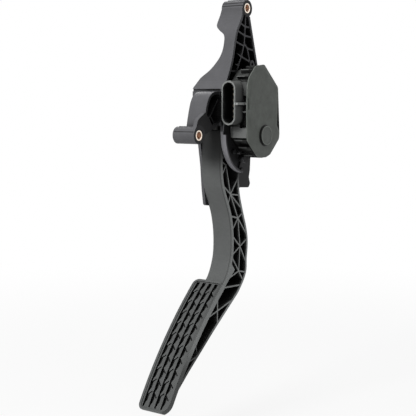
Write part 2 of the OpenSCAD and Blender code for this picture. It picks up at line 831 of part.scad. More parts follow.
// Fins on the body's outside, which end under the cover's overhang
fin_t = 1.2;
fin_start = right_face + 6;
fin_inset = 0.6;
body_fins = [
    [[-30, 37], [-20, 37]], [[-30, 22], [-20, 22]], [[-30, 47], [-18, 43]], [[-27, 57], [-16, 50]],
    [[-19, 64], [-12, 54]], [[-8, 67], [-7, 58]], [[9, 60], [4, 54]], [[21, 50], [14, 44]],
    [[26, 38], [16, 38]], [[26, 22], [16, 22]], [[29, 0], [20, 0]], [[22, -10], [14, -6]],
    [[8, -22], [5, -14]], [[-30, -4.1], [-18, -4.1]], [[-24, -11], [-12, -11]],
    [[-16, -18.6], [2, -18.6]], [[-9, -18.6], [-9, -12]]
];

// Snap tab on the shroud's side, and the block under the shroud
tab_size = [1.6, 11, 2];
tab_z = 29.5;
block_size = [body_depth - 5.5, 8, 9];
block_z = -1.8;

module sensor_body() color("#2c2e2e") placed() {
    difference() {
        union() {
            across(right_face, cover_joint) body_shape();
            intersection() {
                across(fin_start, cover_joint) offset(delta = -fin_inset) cover_shape();
                across(fin_start, cover_joint) for (fin = body_fins) rib_line(fin[0], fin[1], fin_t);
            }
            along(-shroud_reach, shroud_floor + 9) shroud_shape(0);
            translate([shroud_mid[0], shroud_floor - 1.6, 37]) cube([cover_joint - shroud_mid[0], 8, 12]);
            translate([shroud_mid[0] + shroud_width / 2, 1.2 - shroud_reach, tab_z])
                translate([-eps, 0, -tab_size[2] / 2]) cube(tab_size);
            translate([cover_joint - block_size[0], shroud_floor - 2, block_z]) cube(block_size);
            translate([cover_joint - block_size[0], shroud_floor - 2, block_z + 1])
                cube([block_size[0] / 2, block_size[1], block_size[2] + 2.4]);
        }
        difference() {
            across(right_face + body_wall, cover_joint + 1) tray_shape();
            for (p = screw_places) lateral(p, screw_boss_d, right_face, right_face + 4);
            for (p = board_posts) lateral(p, 4.4, right_face, board_x);
        }
        difference() {
            across(cover_joint - seal_groove[1], cover_joint + 1) offset(delta = -1.2) body_shape();
            across(cover_joint - 3, cover_joint + 1) offset(delta = -1.2 - seal_groove[0]) body_shape();
        }
        along(-shroud_reach - 1, shroud_floor) shroud_shape(shroud_wall);
        blades();
        lateral(pivot, seal_d, right_face - 1, right_face + 8);
        for (p = screw_places) {
            lateral(p, screw_core + 0.6, right_face - 1, right_face + 8);
        }
    }
}

// Lip seal round the shaft in the sensor body's floor
module shaft_seal() color("#303030") placed() difference() {
    lateral(pivot, seal_d, right_face + bearing_flange, right_face + bearing_flange + 2);
    lateral(pivot, shaft_d + 0.3, -far, far);
}

module sensor_screws() color("#a0a2a4") placed() for (p = screw_places) {
    lateral(p, screw_core, right_face - 2, right_face + 4);
    difference() {
        lateral(p, 5.6, right_face + 4, right_face + 6);
        translate([right_face + 5, p[0] - 0.4, p[1] - 2]) cube([4, 0.8, 4]);
        translate([right_face + 5, p[0] - 2, p[1] - 0.4]) cube([4, 4, 0.8]);
    }
}

// The board follows the tray it lies in
module board_shape() offset(delta = -board_gap) tray_shape();

module circuit_board() color("#2f6b45") placed() difference() {
    across(board_x, board_x + board_t) board_shape();
    blades();
}

// Two sensing chips face the magnet, and a larger chip lies on the board's other side
chip_width = 5.2;
chip_y = 4.5;
large_chip = [8, 10];
large_chip_at = [-6, 22];

module sensor_chips() color("#181818") placed() {
    for (y = [-chip_y, chip_y]) translate([board_x - chip_depth, y - chip_width / 2, -chip_width / 2])
        cube([chip_depth, chip_width, chip_width]);
    translate([board_x + board_t, large_chip_at[0], large_chip_at[1]])
        cube([chip_depth, large_chip[0], large_chip[1]]);
}

module connector_blades() color("#c9b27a") placed() blades();

module cover_seal() color("#7a3b2e") placed() across(cover_joint - seal_groove[1], cover_joint) difference() {
    offset(delta = -1.2) body_shape();
    offset(delta = -1.2 - seal_groove[0]) body_shape();
}

// Cover plate with a shallow bevel, a recess behind it and the window of its snap tab
bevel_rise = 1.2;
cover_recess = 0.5;
window_at = [-27, 24];
window_size = [1.6, 10];

module sensor_cover() color("#333635") placed() difference() {
    union() {
        across(cover_joint, cover_face - bevel_rise) cover_shape();
        translate([cover_face - bevel_rise - eps, 0, 0]) rotate([90, 0, 90]) minkowski() {
            linear_extrude(eps) offset(delta = -cover_bevel) cover_shape();
            cylinder(r1 = cover_bevel, r2 = 0, h = bevel_rise, $fn = 16);
        }
    }
    across(cover_joint - 1, cover_joint + cover_recess) tray_shape();
    lateral(pivot, cap_neck_d, cover_joint, cover_face + 1);
    translate([cover_joint - 1, window_at[0], window_at[1]])
        cube([cover_depth + 2, window_size[0], window_size[1]]);
}

// Round dished cap that closes the cover over the pivot: its head stands clear of the face
cap_neck_d = cap_d - 6;
cap_rim = 1.3;
cap_dish = 0.4;
cap_clear = 0.8;

module pivot_cap() color("#3a3d3b") placed() difference() {
    union() {
        lateral(pivot, cap_d, cover_face + cap_clear, cover_face + cap_height);
        lateral(pivot, cap_d - 3, cover_face, cover_face + cap_clear + eps);
        lateral(pivot, cap_neck_d, cover_joint + cover_recess, cover_face + eps);
    }
    lateral(pivot, cap_d - 2 * cap_rim, cover_face + cap_height - cap_dish, cover_face + cap_height + 1);
}

// Rotor on the shaft's end that carries the ring magnet past the chips
rotor_disc_d = 24;
rotor_disc = 2;
magnet_d = 22;
magnet_bore = 13;

module sensor_rotor() color("#4c4f52") placed() difference() {
    union() {
        lateral(pivot, shaft_d + 5, rotor_x, rotor_x + rotor_depth);
        lateral(pivot, rotor_disc_d, rotor_x + rotor_depth - rotor_disc, rotor_x + rotor_depth);
    }
    lateral(pivot, shaft_d, rotor_x - 1, shaft_right);
}

module rotor_magnet() color("#62646a") placed() difference() {
    lateral(pivot, magnet_d, rotor_x + rotor_depth, rotor_x + rotor_depth + magnet_depth);
    lateral(pivot, magnet_bore, -far, far);
}

housing();
upper_bush();
front_bush();
left_bearing();
right_bearing();
idle_stop();
full_stop();
spring_seat();
friction_shoe();
outer_spring();
inner_spring();
sensor_body();
shaft_seal();
sensor_screws();
circuit_board();
sensor_chips();
connector_blades();
cover_seal();
sensor_cover();
pivot_cap();
pedal_lever();
pivot_shaft();
shaft_clip();
sensor_rotor();
rotor_magnet();
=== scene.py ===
# Looks of a car's electronic accelerator pedal: one moulded lever with its foot pad, hung in a ribbed
# nylon housing that also carries the position sensor. Everything is in metres, in the part's own frame.

import math

import bpy
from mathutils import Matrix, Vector


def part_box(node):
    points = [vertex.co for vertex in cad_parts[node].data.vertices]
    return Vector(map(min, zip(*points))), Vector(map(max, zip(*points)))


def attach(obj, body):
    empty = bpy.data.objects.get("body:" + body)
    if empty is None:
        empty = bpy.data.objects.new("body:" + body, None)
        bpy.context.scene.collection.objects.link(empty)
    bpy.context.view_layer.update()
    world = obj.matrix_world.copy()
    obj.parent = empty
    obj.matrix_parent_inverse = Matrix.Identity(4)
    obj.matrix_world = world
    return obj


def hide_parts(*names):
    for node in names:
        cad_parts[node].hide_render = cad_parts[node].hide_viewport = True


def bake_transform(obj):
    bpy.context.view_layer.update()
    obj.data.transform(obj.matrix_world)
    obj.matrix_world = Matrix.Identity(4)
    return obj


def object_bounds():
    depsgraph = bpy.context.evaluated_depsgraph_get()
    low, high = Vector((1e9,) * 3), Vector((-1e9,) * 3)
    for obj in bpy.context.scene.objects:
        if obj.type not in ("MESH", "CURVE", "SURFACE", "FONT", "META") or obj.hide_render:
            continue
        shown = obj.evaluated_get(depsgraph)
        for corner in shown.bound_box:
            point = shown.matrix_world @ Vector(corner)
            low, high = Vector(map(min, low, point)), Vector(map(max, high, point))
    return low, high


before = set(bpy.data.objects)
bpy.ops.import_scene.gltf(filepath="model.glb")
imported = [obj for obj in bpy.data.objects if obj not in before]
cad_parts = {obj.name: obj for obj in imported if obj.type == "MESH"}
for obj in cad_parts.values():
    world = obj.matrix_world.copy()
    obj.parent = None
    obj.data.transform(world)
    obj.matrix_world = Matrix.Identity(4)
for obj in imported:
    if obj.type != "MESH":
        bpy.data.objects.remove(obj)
cad_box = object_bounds()


# The camera stands ahead of the pedal on the sensor's side, a little above its middle. It was placed
# from the circles of the bores and of the round cap.
camera_place = (0.5407, -0.7764, -0.0856)
camera_turn = 36.5
camera_dip = 6.2
focal_length = 85.67
sensor_width = 36.0

bpy.ops.object.select_all(action="DESELECT")
bpy.ops.object.camera_add(
    location=camera_place,
    rotation=(math.radians(90.0 - camera_dip), 0.0, math.radians(camera_turn)),
)
camera = bpy.context.active_object
camera.data.lens = focal_length
camera.data.sensor_width = sensor_width
camera.data.clip_end = 20.0
bpy.context.scene.camera = camera


# The housing is one moulding of black glass-filled nylon: the ribbed bracket with its two bolt bosses,
# the chamber round the lever and the leg behind it. The mould leaves every outer edge slightly round,
# and the glass in the nylon gives the faces a fine, faintly mottled satin grain.
class Shade:
    """One socket of a material. Its arithmetic adds Math nodes, and node() adds any other node."""

    def __init__(self, tree, socket=None):
        self.tree = tree
        self.socket = socket

    def node(self, kind, settings=None, sockets=None, out=0):
        made = self.tree.nodes.new("ShaderNode" + kind)
        for name, value in (settings or {}).items():
            setattr(made, name, value)
        for name, value in (sockets or {}).items():
            if isinstance(value, Shade):
                self.tree.links.new(value.socket, made.inputs[name])
            else:
                made.inputs[name].default_value = value
        return Shade(self.tree, made.outputs[out] if len(made.outputs) else None)

    def maths(self, operation, first, second=0.0):
        return self.node("Math", {"operation": operation}, {0: first, 1: second})

    def wave(self):
        return self.maths("SINE", self)

    def most(self, other):
        return self.maths("MAXIMUM", self, other)

    def ramp(self, low, high):
        """0 at low and 1 at high, eased at both ends."""
        sockets = {"Value": self, "From Min": low, "From Max": high}
        return self.node("MapRange", {"interpolation_type": "SMOOTHSTEP"}, sockets)

    def __add__(self, other):
        return self.maths("ADD", self, other)

    __radd__ = __add__

    def __mul__(self, other):
        return self.maths("MULTIPLY", self, other)

    __rmul__ = __mul__

    def __sub__(self, other):
        return self.maths("SUBTRACT", self, other)

    def __rsub__(self, other):
        return self.maths("SUBTRACT", other, self)


right = (1.0, 0.0, 0.0)
ahead = (0.0, -1.0, 0.0)
back = (0.0, 1.0, 0.0)
up = (0.0, 0.0, 1.0)


def new_material(name):
    """An empty material, the start of its nodes and the piece's own coordinates."""
    material = bpy.data.materials.new(name)
    material.use_nodes = True
    material.node_tree.nodes.clear()
    start = Shade(material.node_tree)
    return material, start, start.node("TexCoord", out="Object")


def noise(place, scale, detail=2.0, roughness=0.5):
    """Even noise about 0.5, with grains 1/scale metres wide."""
    sockets = {"Vector": place, "Scale": scale, "Detail": detail, "Roughness": roughness}
    return place.node("TexNoise", {"noise_dimensions": "3D"}, sockets)


def stretched(place, x, y, z):
    """Coordinates scaled by axis, for grain that runs one way."""
    return place.node("VectorMath", {"operation": "MULTIPLY"}, {0: place, 1: (x, y, z)})


def reach_along(vector, way):
    """How far a vector reaches along a direction."""
    return vector.node("VectorMath", {"operation": "DOT_PRODUCT"}, {0: vector, 1: way}, out=1)


def distance_from(place, axis_point):
    """Distance from an axis that runs across the pedal through a point (y, z)."""
    flat = stretched(place, 0.0, 1.0, 1.0)
    offset = flat.node("VectorMath", {"operation": "SUBTRACT"}, {0: flat, 1: (0.0, *axis_point)})
    return offset.node("VectorMath", {"operation": "LENGTH"}, {0: offset}, out=1)


def beyond(place, way, plane, fade):
    """1 past a plane across a direction and 0 before it, eased over the fade."""
    return reach_along(place, way).ramp(plane, plane + fade)


def clear_of(place, axis_point, radius, fade):
    """1 outside a radius round an axis and 0 within it, eased over the fade."""
    return distance_from(place, axis_point).ramp(radius, radius + fade)


def facing(normal, way, grazing, full):
    """1 on faces that look one way and 0 on those turned from it, between the two cosines."""
    return reach_along(normal, way).ramp(grazing, full)


def mix_colour(mask, low, high):
    """Colour low where the mask is 0 and high where it is 1."""
    sockets = {0: mask}
    for socket, value in ((6, low), (7, high)):
        sockets[socket] = value if isinstance(value, Shade) else (*value, 1.0)
    return mask.node("Mix", {"data_type": "RGBA"}, sockets, out=2)


def openness(start, reach, low, high):
    """1 on open faces and 0 deep in wells and grooves narrower than the reach.

    The low and high values are the shares of open sky at which it is 0 and 1.
    """
    seen = start.node("AmbientOcclusion", {"samples": 8}, {"Distance": reach}, out=1)
    return seen.ramp(low, high)


def bumped(start, height, depth, strength=0.4):
    """The normal of a surface that the height lifts by up to the depth."""
    return start.node("Bump", sockets={"Strength": strength, "Distance": depth, "Height": height})


def finish_surface(start, colour, rough, bump, metallic=0.0, specular=0.5):
    """Joins a material's colour, roughness and bump to its output."""
    sockets = {
        "Base Color": colour,
        "Roughness": rough,
        "Metallic": metallic,
        "IOR": 1.5,
        "Specular IOR Level": specular,
        "Normal": bump,
    }
    surface = start.node("BsdfPrincipled", sockets=sockets)
    start.node("OutputMaterial", sockets={"Surface": surface})


def accented(start, place, colour, light, accents):
    """The colour with its accents.

    Each accent is a place where the tone changes. It takes the place and the normal, and gives a mask and
    the number that the light tone is multiplied by there.
    """
    normal = start.node("TexCoord", out="Normal")
    for accent in accents:
        mask, lift = accent(place, normal)
        colour = mix_colour(mask, colour, tuple(lift * value for value in light))
    return colour


def nylon(name, dark, light, well, deep, accents, gloss=0.5, specular=0.13):
    """Glass-filled nylon: mottled flow, a fine moulded grain and a satin gloss that varies a little.

    Painted shade takes the colour to black in wells narrower than the given width, between the two given
    shares of open sky.
    """
    contrast = 2.2
    painted_well_shade = (0.0, 0.0, 0.0)
    well_roughness = 0.3
    grain_depth = 0.00002
    material, start, place = new_material(name)
    flow = noise(place, 75.0, 4.0, 0.6)
    mottle = noise(place, 900.0, 2.0, 0.6)
    fibre = noise(stretched(place, 1.0, 1.0, 0.3), 3800.0, 1.0)
    tone = (flow * 0.6 + mottle * 0.4 - 0.5) * contrast + 0.5
    colour = mix_colour(tone, dark, light)
    open_face = openness(start, well, *deep)
    # Painted shade: wells and corners go black.
    colour = mix_colour(open_face, painted_well_shade, colour)
    colour = accented(start, place, colour, light, accents)
    rough = gloss + (flow - 0.5) * 0.16 + (mottle - 0.5) * 0.1 + (1.0 - open_face) * well_roughness
    height = mottle * 0.6 + fibre * 0.4
    finish_surface(start, colour, rough, bumped(start, height, grain_depth, 0.35), specular=specular)
    return material


def painted_shade_line(way, level, width, lift, centre, radius):
    """Accent of a thin dark line of painted shade across the front of a piece."""
    soft = width / 2
    end_fade = 0.0004

    def accent(place, normal):
        line = beyond(place, way, level - width, soft) - beyond(place, way, level + soft, soft)
        near = 1.0 - clear_of(place, centre, radius - end_fade, end_fade)
        return line * near * facing(normal, ahead, 0.2, 0.5), lift

    return accent


def select_only(piece):
    bpy.ops.object.select_all(action="DESELECT")
    piece.select_set(True)
    bpy.context.view_layer.objects.active = piece


same_point = 0.000004
flat_turn = math.radians(0.5)
edge_turn = math.radians(30.0)
smooth_turn = math.radians(35.0)


def moulded(node, name, edge, material, body="bracket", trim=None):
    """A copy of a node with its doubles merged and its sharp edges rounded by the given width.

    What lies inside the solid given as trim is cut off first.
    """
    piece = bpy.data.objects.new(name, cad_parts[node].data.copy())
    bpy.context.scene.collection.objects.link(piece)
    select_only(piece)
    bpy.ops.object.mode_set(mode="EDIT")
    bpy.ops.mesh.select_all(action="SELECT")
    bpy.ops.mesh.remove_doubles(threshold=same_point)
    bpy.ops.object.mode_set(mode="OBJECT")
    if trim:
        cut = piece.modifiers.new("trim", "BOOLEAN")
        cut.operation = "DIFFERENCE"
        cut.object = trim
        bpy.ops.object.modifier_apply(modifier="trim")
    bpy.ops.object.mode_set(mode="EDIT")
    bpy.ops.mesh.select_all(action="SELECT")
    bpy.ops.mesh.dissolve_limited(angle_limit=flat_turn)
    bpy.ops.object.mode_set(mode="OBJECT")
    bevel = piece.modifiers.new("mould_edge", "BEVEL")
    bevel.width = edge
    bevel.segments = 2
    bevel.limit_method = "ANGLE"
    bevel.angle_limit = edge_turn
    bevel.use_clamp_overlap = True
    bpy.ops.object.modifier_apply(modifier="mould_edge")
    bpy.ops.object.shade_smooth_by_angle(angle=smooth_turn)
    flat_faces = piece.modifiers.new("flat_faces", "WEIGHTED_NORMAL")
    flat_faces.keep_sharp = True
    bpy.ops.object.modifier_apply(modifier="flat_faces")
    piece.data.materials.clear()
    piece.data.materials.append(material)
    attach(piece, body)
    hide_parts(node)


nylon_edge = 0.0003
boss_radius = 0.0098
upper_boss = (0.0, 0.0)
front_boss = (-0.075, -0.1165)
pivot = (-0.003, -0.118)
cheek_flat = 0.0345
rib_plane = 0.0085
rim_inside = 0.0351
rim_outside = 0.0364
rim_top = -0.1
rim_back = -0.012
rim_face = 0.0094
lug_back = -0.046
strip_foot = 0.0022
strip_head = 0.0046
strip_rise = 0.0033
shade_line_width = 0.0006


def cheek_rim_highlight(place, normal):
    """Accent of painted highlight on the rim that stands out round the front of the right cheek."""
    inner = clear_of(place, pivot, rim_inside, fade=0.0006)
    outer = clear_of(place, pivot, rim_outside, fade=0.0004)
    below = 1.0 - beyond(place, up, rim_top, fade=0.002)
    in_front = 1.0 - beyond(place, back, rim_back, fade=0.002)
    outside = beyond(place, right, rim_face, fade=0.0004)
    return (inner - outer) * below * in_front * outside, 3.0


def sensor_side(normal):
    """1 on faces that look towards the sensor."""
    return facing(normal, right, 0.4, 0.7)


def behind_lug(place):
    """1 behind the hollow lug and 0 in it."""
    return beyond(place, back, lug_back, fade=0.002)


def painted_side_shade(place, normal):
    """Accent of painted shade on the sides that face the sensor, darker than the tray's rim and the tops of
    its ribs.
    """
    rim = beyond(place, right, rib_plane, fade=0.002)
    off_boss = clear_of(place, upper_boss, boss_radius - 0.0004, fade=0.0008)
    off_cheek = clear_of(place, pivot, cheek_flat - 0.0015, fade=0.0015)
    return sensor_side(normal) * (1.0 - rim * behind_lug(place) * off_boss * off_cheek), 0.28


def painted_deep_shade(place, normal):
    """Accent of painted shade on the inside of the lug and on the cheek under the sensor, which makes them
    nearly black.
    """
    off_boss = clear_of(place, front_boss, boss_radius - 0.001, fade=0.0008)
    in_lug = (1.0 - behind_lug(place)) * off_boss
    on_cheek = 1.0 - clear_of(place, pivot, cheek_flat - 0.001, fade=0.001)
    return sensor_side(normal) * (in_lug + on_cheek), 0.12


housing_nylon = nylon(
    "housing_nylon",
    (0.07, 0.07, 0.074),
    (0.094, 0.094, 0.1),
    well=0.028,
    deep=(0.35, 0.78),
    accents=(
        # Painted shade lines across the fronts of the two bosses.
        painted_shade_line(up, strip_foot, shade_line_width, 0.2, upper_boss, boss_radius),
        painted_shade_line(up, strip_head, shade_line_width, 0.2, upper_boss, boss_radius),
        painted_shade_line(up, front_boss[1] + strip_rise, shade_line_width, 0.25, front_boss, boss_radius),
        # Painted shade on the sides that face the sensor.
        painted_side_shade,
        # Painted shade, nearly black, in the lug and on the cheek under the sensor.
        painted_deep_shade,
        # Painted highlight on the cheek's rim.
        cheek_rim_highlight,
    ),
)
# The lower end of the strip behind the sensor is cut off at a slope.
corner_size = 0.016
corner_place = (0.0095, 0.0452, -0.1432)
corner_slope = math.radians(45.0)
bpy.ops.object.select_all(action="DESELECT")
bpy.ops.mesh.primitive_cube_add(size=corner_size, location=corner_place, rotation=(corner_slope, 0.0, 0.0))
corner = bpy.context.active_object
moulded("housing", "housing_moulding", nylon_edge, housing_nylon, trim=corner)
select_only(corner)
bpy.ops.object.delete()


# Two bronze-coloured bushes are pressed in the bolt bosses. They are turned, so their ends show fine
# rings, and the chamfered rim is brighter than the bore.
bush_bore = 0.0033
bush_edge = 0.00045
rim_fade = 0.000525
bush_rim = (0.95, 0.85, 0.73)
bush_inside = (0.84, 0.68, 0.57)
ring_rate = 21000.0
ring_depth = 0.000006


def turned_metal(name, axis_point):
    """Turned metal: rings round an axis, at a rate in radians a metre, a bright rim and a duller bore."""
    material, start, place = new_material(name)
    away = distance_from(place, axis_point)
    cloud = noise(place, 260.0, 2.0)
    rings = (away * ring_rate + cloud * 2.5).wave()
    on_rim = away.ramp(bush_bore, bush_bore + rim_fade)
    colour = mix_colour(on_rim * (cloud * 0.35 + 0.75), bush_inside, bush_rim)
    finish_surface(start, colour, cloud * 0.14 + 0.3, bumped(start, rings, ring_depth, 0.3), metallic=1.0)
    return material


for node, axis_point in (("upper_bush", upper_boss), ("front_bush", front_boss)):
    moulded(node, node + "_turned", bush_edge, turned_metal(node + "_metal", axis_point))


# The lever and its foot pad are a second moulding in the same nylon: a hollow arm with a truss of thin
# ribs on its open side, and the barbed tread on the pad.
lever_rib_plane = 0.0087
head_reach = 0.033
arm_reach = 0.165
arm_shade_line = lever_rib_plane - 0.0012
arm_shade_width = 0.0005
pad_top = -0.2565
pad_slant = 0.04
band_start = -0.0085
pad_shade_share = 0.16
band_shade_share = 0.14


def painted_top_highlight(way, plane, lift):
    """Accent of painted highlight on the outermost faces that look one way."""
    skin = 0.0008

    def accent(place, normal):
        return beyond(place, way, plane - skin, fade=0.0006) * facing(normal, way, 0.5, 0.9), lift

    return accent


def painted_head_shadow(place, normal):
    """Accent of painted shadow on the front of the lever's head, between the cheeks."""
    return 1.0 - clear_of(place, pivot, head_reach, fade=0.018), 0.14


def painted_pad_shade(place, normal):
    """Accent of painted shade on the front of the foot pad, darker than the arm above it and darker still
    towards its right side.
    """
    below = 1.0 - beyond(place, up, pad_top, fade=0.001)
    right_band = beyond(place, (1.0, 0.0, pad_slant), band_start, fade=0.005)
    return below * facing(normal, ahead, 0.3, 0.6) * (right_band * band_shade_share + pad_shade_share), 0.0


lever_nylon = nylon(
    "lever_nylon",
    (0.08, 0.083, 0.082),
    (0.105, 0.109, 0.108),
    gloss=0.52,
    well=0.022,
    deep=(0.36, 0.82),
    accents=(
        # Painted shade on the front of the foot pad.
        painted_pad_shade,
        # Painted highlight on the tops of the ribs.
        painted_top_highlight(right, lever_rib_plane, lift=3.0),
        # A painted shade line down the arm's front, near its right edge.
        painted_shade_line(right, arm_shade_line, arm_shade_width, 0.45, pivot, arm_reach),
        # Painted shadow on the lever's head.
        painted_head_shadow,
    ),
)
moulded("pedal_lever", "lever_moulding", nylon_edge, lever_nylon, body="pedal")


# The sensor's body is moulded in black nylon with the oval plug shroud on it. Fins stiffen its outside,
# and it is screwed to the housing's right cheek.
shroud_front = -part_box("sensor_body")[0].y
shroud_side = 0.0266
fin_front = -0.03
fin_fade = 0.0006
upper_fins = -0.083
block_foot = -0.1201
block_head = -0.11
tab_foot = -0.0898
tab_head = -0.0875


def painted_block_light(place, normal):
    """Accent of painted light on the front of the block under the shroud."""
    on_block = beyond(place, up, block_foot, fade=0.0004) - beyond(place, up, block_head, fade=0.0005)
    return on_block * facing(normal, ahead, 0.5, 0.8), 1.35


def shade_behind_fins(place, normal):
    """Accent of painted shade on the wall between the shroud and the cover, behind the fins."""
    outer = beyond(place, right, shroud_side, fin_fade)
    deep = beyond(place, back, fin_front, fin_fade)
    return outer * deep * facing(normal, ahead, 0.3, 0.6), 0.15


def fin_edge_highlight(place, normal):
    """Accent of painted highlight on the front edges of the lower fins, beside the cover's edge."""
    outer = beyond(place, right, shroud_side + fin_fade, fin_fade)
    shallow = 1.0 - beyond(place, back, fin_front, fin_fade)
    low = 1.0 - beyond(place, up, upper_fins, fade=0.0005)
    return outer * shallow * low * facing(normal, ahead, 0.3, 0.6), 1.7


def snap_tab(place, normal):
    """Accent that makes the tab beside the shroud much lighter."""
    on_tab = beyond(place, up, tab_foot, fade=0.0003) - beyond(place, up, tab_head, fade=0.0003)
    return on_tab * beyond(place, right, shroud_side - 0.0004, fade=0.0006), 3.4


# The sensor's colour has painted highlights on the shroud's front and the fins' front edges, painted light
# on the block's front, painted shade behind the fins, and a lighter tab.
sensor_nylon = nylon(
    "sensor_nylon",
    (0.062, 0.064, 0.063),
    (0.088, 0.091, 0.089),
    gloss=0.46,
    well=0.02,
    deep=(0.36, 0.8),
    accents=(painted_top_highlight(ahead, shroud_front, lift=2.2), shade_behind_fins, fin_edge_highlight, painted_block_light, snap_tab),
)
moulded("sensor_body", "sensor_moulding", nylon_edge, sensor_nylon)


# Six contact blades of tinned brass stand in the shroud. They are stamped flat with slightly rounded
# ends, and their tails run through the sensor's body to the board.
def stamped_metal(name, light, dark, rough, grain=(1.0, 1.0, 1.0)):
    """Stamped, drawn or plated metal: a faint grain that runs one way, with duller patches."""
    grain_depth = 0.000008
    material, start, place = new_material(name)
    lines = noise(stretched(place, *grain), 2600.0, 2.0)
    patch = noise(place, 320.0, 3.0, 0.6)
    colour = mix_colour(patch.ramp(0.3, 0.7), dark, light)
    finish_surface(start, colour, patch * 0.18 + rough, bumped(start, lines, grain_depth, 0.3), metallic=1.0)
    return material


blade_edge = 0.00012
along_blade = (1.0, 0.1, 1.0)
blade_metal = stamped_metal("blade_metal", (0.16, 0.14, 0.11), (0.09, 0.08, 0.06), 0.5, along_blade)
moulded("connector_blades", "blades_stamped", blade_edge, blade_metal)


# The cover is a plate of finely grained dark nylon with a shallow bevel, welded over the sensor.
# A round dished cap closes it over the pivot.
def grained_nylon(name, dark, light, gloss, accents):
    """Nylon from a spark-eroded mould: an even pebble grain with a dull, slightly green-grey tone, and
    painted shade in its grooves.
    """
    groove = 0.004
    painted_groove_shade = (0.004, 0.004, 0.004)
    pebble_depth = 0.00004
    material, start, place = new_material(name)
    pebble = noise(place, 2300.0, 1.0, 0.4)
    cloud = noise(place, 110.0, 5.0, 0.7)
    colour = mix_colour((cloud - 0.5) * 2.6 + pebble * 0.5 + 0.25, dark, light)
    # Painted shade: grooves narrower than the groove width go nearly black.
    colour = mix_colour(openness(start, groove, 0.2, 0.7), painted_groove_shade, colour)
    colour = accented(start, place, colour, light, accents)
    rough = gloss + (pebble - 0.5) * 0.15
    finish_surface(start, colour, rough, bumped(start, pebble, pebble_depth), specular=0.3)
    return material


cap_radius = 0.0089
cap_rim = 0.0013
gap_width = 0.0009


def cap_gap_shade(place, normal):
    """Accent of painted shade in the narrow gap in the cover round the cap."""
    return 1.0 - clear_of(place, pivot, cap_radius + gap_width, fade=0.0004), 0.1


# Painted shade round the cap.
cover_nylon = grained_nylon("cover_nylon", (0.092, 0.101, 0.091), (0.138, 0.149, 0.137), 0.56, (cap_gap_shade,))
moulded("sensor_cover", "cover_plate", nylon_edge, cover_nylon)


def cap_wall_shade(place, normal):
    """Accent of painted shade on the cap's wall beside its dished face."""
    return 1.0 - facing(normal, right, 0.3, 0.6), 0.08


def cap_edge_highlight(place, normal):
    """Accent of painted highlight on the edge of the cap's rim."""
    outside = clear_of(place, pivot, cap_radius - cap_rim, fade=cap_rim / 2)
    return outside * facing(normal, right, 0.6, 0.8), 1.35


# The cap's colour has painted shade on its wall and a painted highlight on the edge of its rim.
cap_nylon = grained_nylon("cap_nylon", (0.1, 0.109, 0.1), (0.132, 0.143, 0.132), 0.5, (cap_wall_shade, cap_edge_highlight))
moulded("pivot_cap", "cap_moulding", nylon_edge, cap_nylon)


# The lever turns on a ground steel shaft, held by a zinc-plated snap ring in its groove and running in
# two flanged bushes of natural acetal in the cheeks.
shaft_edge = 0.0004
plated_edge = 0.00015
along_shaft = (0.2, 1.0, 1.0)
shaft_steel = stamped_metal("shaft_steel", (0.62, 0.63, 0.64), (0.5, 0.51, 0.52), 0.22, along_shaft)
moulded("pivot_shaft", "shaft_ground", shaft_edge, shaft_steel, body="pedal")
plated_steel = stamped_metal("plated_steel", (0.56, 0.57, 0.58), (0.42, 0.43, 0.42), 0.3)
moulded("shaft_clip", "clip_stamped", plated_edge, plated_steel, body="pedal")


def soft_plastic(name, colour, fleck, gloss, grain=700.0, specular=0.4):
    """Plain moulded plastic or rubber with flecks, a fine grain and uneven gloss."""
    grain_depth = 0.00002
    material, start, place = new_material(name)
    cloud = noise(place, grain * 0.12, 3.0)
    speck = noise(place, grain * 3.0, 1.0)
    tone = mix_colour(speck.ramp(0.52, 0.66) * 0.6 + cloud * 0.3, colour, fleck)
    rough = gloss + (cloud - 0.5) * 0.2
    finish_surface(start, tone, rough, bumped(start, speck, grain_depth), specular=specular)
    return material


acetal = soft_plastic("acetal", (0.7, 0.67, 0.58), (0.62, 0.58, 0.48), 0.38)
moulded("left_bearing", "left_bearing_moulding", nylon_edge, acetal)
moulded("right_bearing", "right_bearing_moulding", nylon_edge, acetal)


# Two pads of black rubber stop the lever at both ends of its travel. They are cut from a strip with
# soft edges and glued in the chamber.
stop_edge = 0.0005
stop_rubber = soft_plastic("stop_rubber", (0.022, 0.022, 0.022), (0.05, 0.05, 0.048), 0.78, 1200.0, 0.25)
moulded("idle_stop", "idle_pad", stop_edge, stop_rubber)
moulded("full_stop", "full_pad", stop_edge, stop_rubber)


# Two nested springs of drawn steel wire push the lever's heel down. They are wound in opposite hands,
# so that they can't catch in each other, and a moulded cup centres them under the roof.
spring_axis = (-0.002, 0.010)
spring_top = -0.0800
spring_foot = -0.1077
spring_turns = 5
steps_a_turn = 36
wire_sides = 14
wire_turn = math.radians(40.0)


